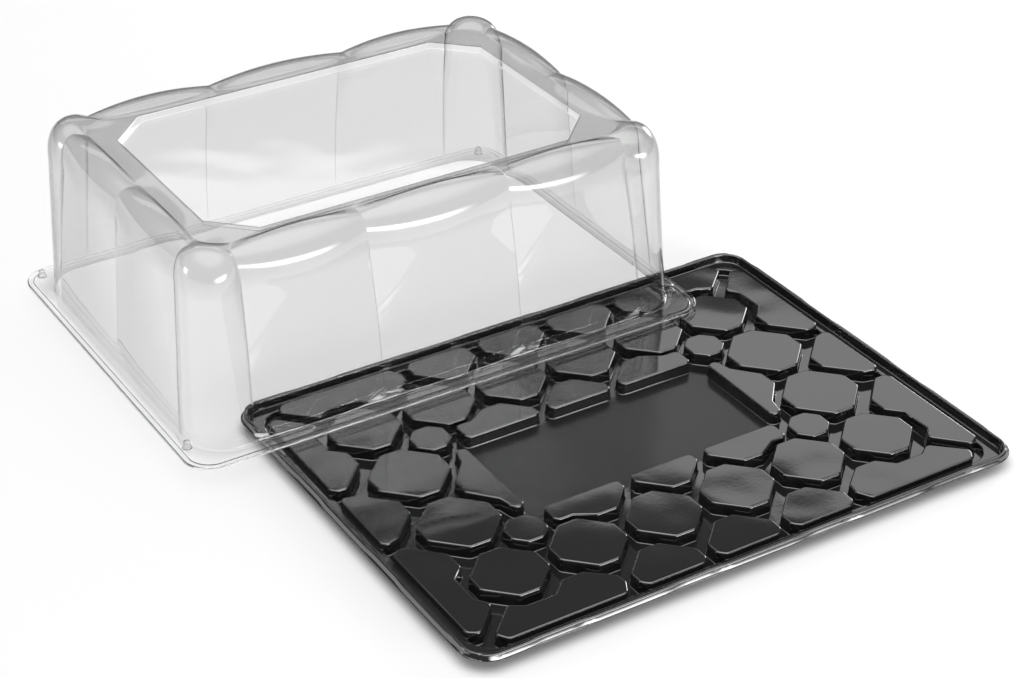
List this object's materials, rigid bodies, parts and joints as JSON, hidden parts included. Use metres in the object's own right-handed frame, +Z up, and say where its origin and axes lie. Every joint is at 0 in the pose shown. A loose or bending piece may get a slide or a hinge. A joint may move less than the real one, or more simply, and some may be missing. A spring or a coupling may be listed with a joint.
{
  "type": "humidity dome tray",
  "caption": "Black formed plastic seedling tray with raised pads round a pocket, and a clear scalloped humidity dome shown off the tray, behind it.",
  "frame": {"origin": "centre of the tray, on the surface the tray rests on", "axes": "+Z up, +X along the tray's long side, +Y towards the dome's resting place behind the tray"},
  "size_m": [0.5445, 0.65, 0.1726],
  "materials": {
    "tray_black": "gloss",
    "dome_clear": "clear gloss"
  },
  "bodies": {
    "tray": {"tray": "tray_black"},
    "dome": {"dome": "dome_clear"}
  },
  "joints": [
    {"name": "dome_slide", "type": "slide", "parent": "tray", "child": "dome", "axis": [0.2429, -0.97, 0], "range_m": [0, 0.2964]}
  ]
}
